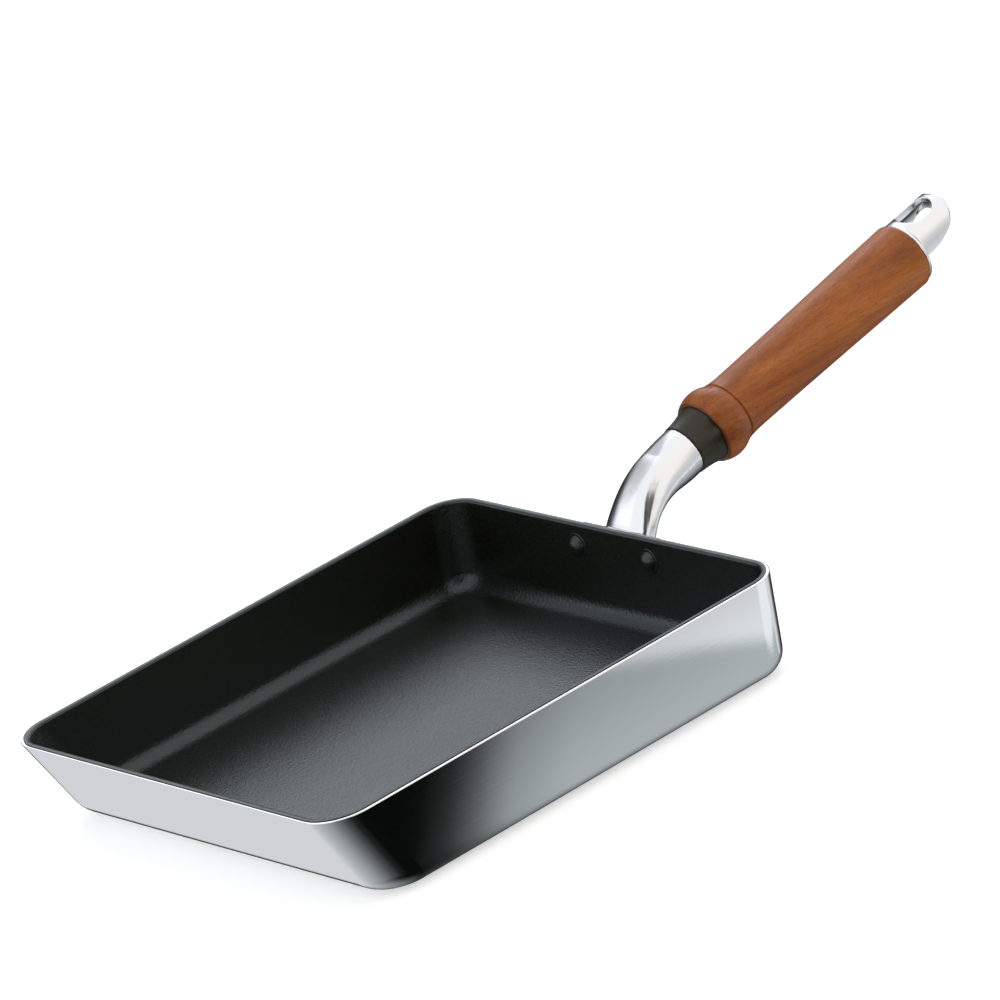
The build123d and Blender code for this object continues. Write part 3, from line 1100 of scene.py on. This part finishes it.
# %% The white tent and its cloths
tent_above = 0.96
tent_below = 0.7
tent_horizon = (-0.12, 0.02)
tent_cool = (0.955, 0.99, 1.04, 1)
tent_warm = (1.02, 1.0, 0.965, 1)
tent_tint_turn = (-0.6, 0.5)
cloths = {
    # direction of its middle, half-angle of the middle, half-angle of the rim, share of the light it passes
    "low behind the pan": ((0.54, 0.735, -0.41), 13, 28, 0.03),
    "low behind the tail": ((0.85, 0.42, -0.3), 8, 21, 0.06),
    "left of the pan": ((0.0, 0.99, 0.05), 15, 36, 0.08),
    "round the camera": ((-0.44, -0.74, 0.51), 15, 24, 0.02),
    "dim right side": ((0.4, -0.9, -0.12), 12, 36, 0.66),
    "pale shade on the left": ((-0.2, 0.78, 0.58), 9, 25, 0.62),
    "window on the far left": ((-0.52, 0.74, 0.42), 9, 24, 1.2),
    "far behind the tail": ((0.72, 0.69, 0.08), 8, 19, 0.1),
    "pale shade over the tail": ((0.24, 0.8, 0.54), 5, 15, 0.74),
    "window behind the pan": ((0.53, 0.58, 0.62), 4, 26, 2.4),
}


def make_tent():
    """World light: white tent with cloths in it; the camera itself only sees white."""
    world = bpy.data.worlds.new("studio tent")
    scene.world = world
    world.use_nodes = True
    tree = world.node_tree
    direction = add_node(tree, "ShaderNodeTexCoord").outputs["Generated"]
    parts = add_node(tree, "ShaderNodeSeparateXYZ", {"Vector": direction}).outputs
    light = add_range(tree, parts["Z"], tent_horizon, (tent_below, tent_above), smooth=True)
    for middle, inner, outer, passed in cloths.values():
        closeness = add_node(tree, "ShaderNodeVectorMath", {0: direction, 1: Vector(middle).normalized()},
                             operation="DOT_PRODUCT").outputs["Value"]
        edges = (cos(radians(outer)), cos(radians(inner)))
        veil = add_range(tree, closeness, edges, (1.0, passed), smooth=True)
        light = add_math(tree, "MULTIPLY", light, veil)
    tint = add_mix(tree, add_range(tree, parts["Y"], tent_tint_turn), tent_warm, tent_cool)
    seen = add_node(tree, "ShaderNodeLightPath").outputs["Is Camera Ray"]
    feed(tree, tree.nodes["Background"], Color=add_mix(tree, seen, tint, (1, 1, 1, 1)),
         Strength=add_number_mix(tree, seen, light, 1.0))
    world.cycles.sampling_method = "NONE"


make_tent()
print("cloths in the tent:", len(cloths))

# %% [markdown]
# A flat mirror shows one direction only, so on its own the long right wall would be one even grey. Near
# things make the gradient: a card curves round the wall's foot at arm's length, grey at its left end, black
# in its middle and light on the right, and each stretch of the wall mirrors another stretch of it. Because
# the card is a piece of a cylinder round that edge, the wall and the rounding below it mirror the same
# tones. Under and behind the pan it fades into the tent's own light. The card glows only for reflections.

# %% Gradient card for the right wall
card_left = -0.4
card_right = 0.9
card_distance = 0.4
card_sweep = radians(135)
card_tint = (0.91, 0.995, 1.0, 1)
card_axis = Vector((0, -0.08, 0.015))
tones_along = (-0.3, 0.5)
tone_stops = (
    (0.0, 0.25), (0.08, 0.15), (0.16, 0.065), (0.25, 0.015), (0.35, 0.003), (0.596, 0.003), (0.616, 0.024),
    (0.632, 0.095), (0.656, 0.27), (0.69, 0.37), (0.8, 0.39), (1.0, 0.38),
)
# heights on the card that the wall mirrors, and there the tones' shift along the card and their gain
wall_heights = (-0.19, -0.155)
wall_shift = (0.012, -0.018)
wall_gain = (1.2, 0.8)
# a slanting edge, past which the card is brighter and cooler
lift_slant = 3.0
lift_edge = (-0.212, -0.186)
lift_gain = 0.95
# how the card fades into the tent behind the pan, which is dark towards the tail
behind_from_to = (-0.25, 0.18)
behind_power = 1.5
far_from_to = (-0.1, 0.12)
far_dark = 0.06


def card_tones(tree):
    """Strength and colour of the card's glow."""
    spot = add_node(tree, "ShaderNodeSeparateXYZ", {"Vector": object_coordinates(tree)}).outputs
    shifted = add_math(tree, "ADD", spot["X"], add_range(tree, spot["Z"], wall_heights, wall_shift))
    tone = add_ramp(tree, add_range(tree, shifted, tones_along), tone_stops)
    slanted = add_math(tree, "MULTIPLY_ADD", spot["Z"], lift_slant, spot["X"])
    lift = add_range(tree, slanted, lift_edge, smooth=True)
    lifted = add_math(tree, "MULTIPLY", tone, add_math(tree, "MULTIPLY_ADD", lift, lift_gain, 1.0))
    front = add_math(tree, "MULTIPLY", lifted, add_range(tree, spot["Z"], wall_heights, wall_gain))
    behind = add_math(tree, "POWER", add_range(tree, spot["Y"], behind_from_to), behind_power)
    far = add_range(tree, spot["X"], far_from_to, (tent_below, far_dark))
    cool = add_math(tree, "MAXIMUM", lift, behind, use_clamp=True)
    return add_number_mix(tree, behind, front, far), add_mix(tree, cool, card_tint, tent_cool)


def make_card():
    """Curved card round the right wall's foot that only reflections see."""
    material = bpy.data.materials.new("gradient card")
    material.use_nodes = True
    tree = material.node_tree
    tree.nodes.remove(tree.nodes["Principled BSDF"])
    strength, colour = card_tones(tree)
    glow = add_node(tree, "ShaderNodeEmission", {"Color": colour, "Strength": strength})
    feed(tree, tree.nodes["Material Output"], Surface=glow.outputs["Emission"])
    material.cycles.emission_sampling = "NONE"
    bm = bmesh.new()
    ends = [bm.verts.new((x, card_axis.y - card_distance, card_axis.z)) for x in (card_left, card_right)]
    edge = bm.edges.new(ends)
    bmesh.ops.spin(bm, geom=[*ends, edge], cent=card_axis, axis=(1, 0, 0), angle=card_sweep, steps=48)
    card = object_of(bm, "gradient_card", [material])
    for kind in ("camera", "diffuse", "transmission", "volume_scatter", "shadow"):
        setattr(card, "visible_" + kind, False)


make_card()
scene.view_settings.view_transform = "Standard"
print("card from", card_left, "to", card_right, "m")
